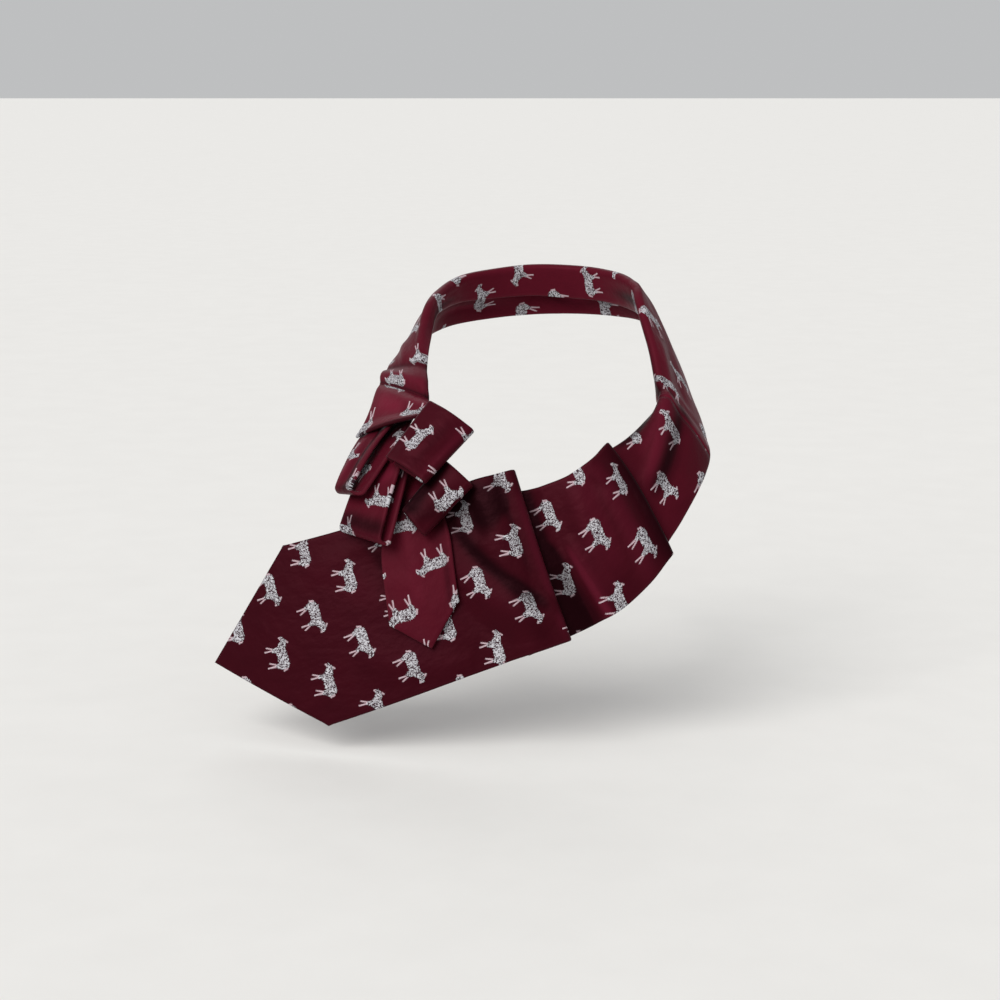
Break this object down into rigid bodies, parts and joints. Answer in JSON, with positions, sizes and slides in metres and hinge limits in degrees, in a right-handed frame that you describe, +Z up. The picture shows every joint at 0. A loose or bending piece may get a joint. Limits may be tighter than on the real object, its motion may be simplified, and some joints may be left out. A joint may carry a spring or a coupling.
{
  "type": "silk cravat",
  "caption": "Silk cravat folded from one necktie: a pleated collar round an open neck, folded loops and a pointed tail at one side, in burgundy satin with small woven sheep.",
  "frame": {"origin": "middle of the neck opening, where the wearer's neck holds the collar", "axes": "+Z up, -Y the way the wearer faces, +X the wearer's left"},
  "size_m": [0.2742, 0.1967, 0.2322],
  "materials": {
    "blade": "satin woven silk",
    "middle_panel": "satin woven silk",
    "shoulder_panel": "satin woven silk",
    "neck_band": "satin woven silk",
    "band_end": "satin woven silk",
    "loop_left_upper": "satin woven silk",
    "loop_left_lower": "satin woven silk",
    "loop_right_upper": "satin woven silk",
    "loop_right_lower": "satin woven silk",
    "tail": "satin woven silk"
  },
  "bodies": {
    "root": {"blade": "blade", "middle_panel": "middle_panel", "shoulder_panel": "shoulder_panel", "neck_band": "neck_band", "band_end": "band_end", "loop_left_upper": "loop_left_upper", "loop_left_lower": "loop_left_lower", "loop_right_upper": "loop_right_upper", "loop_right_lower": "loop_right_lower", "tail": "tail"}
  },
  "joints": []
}
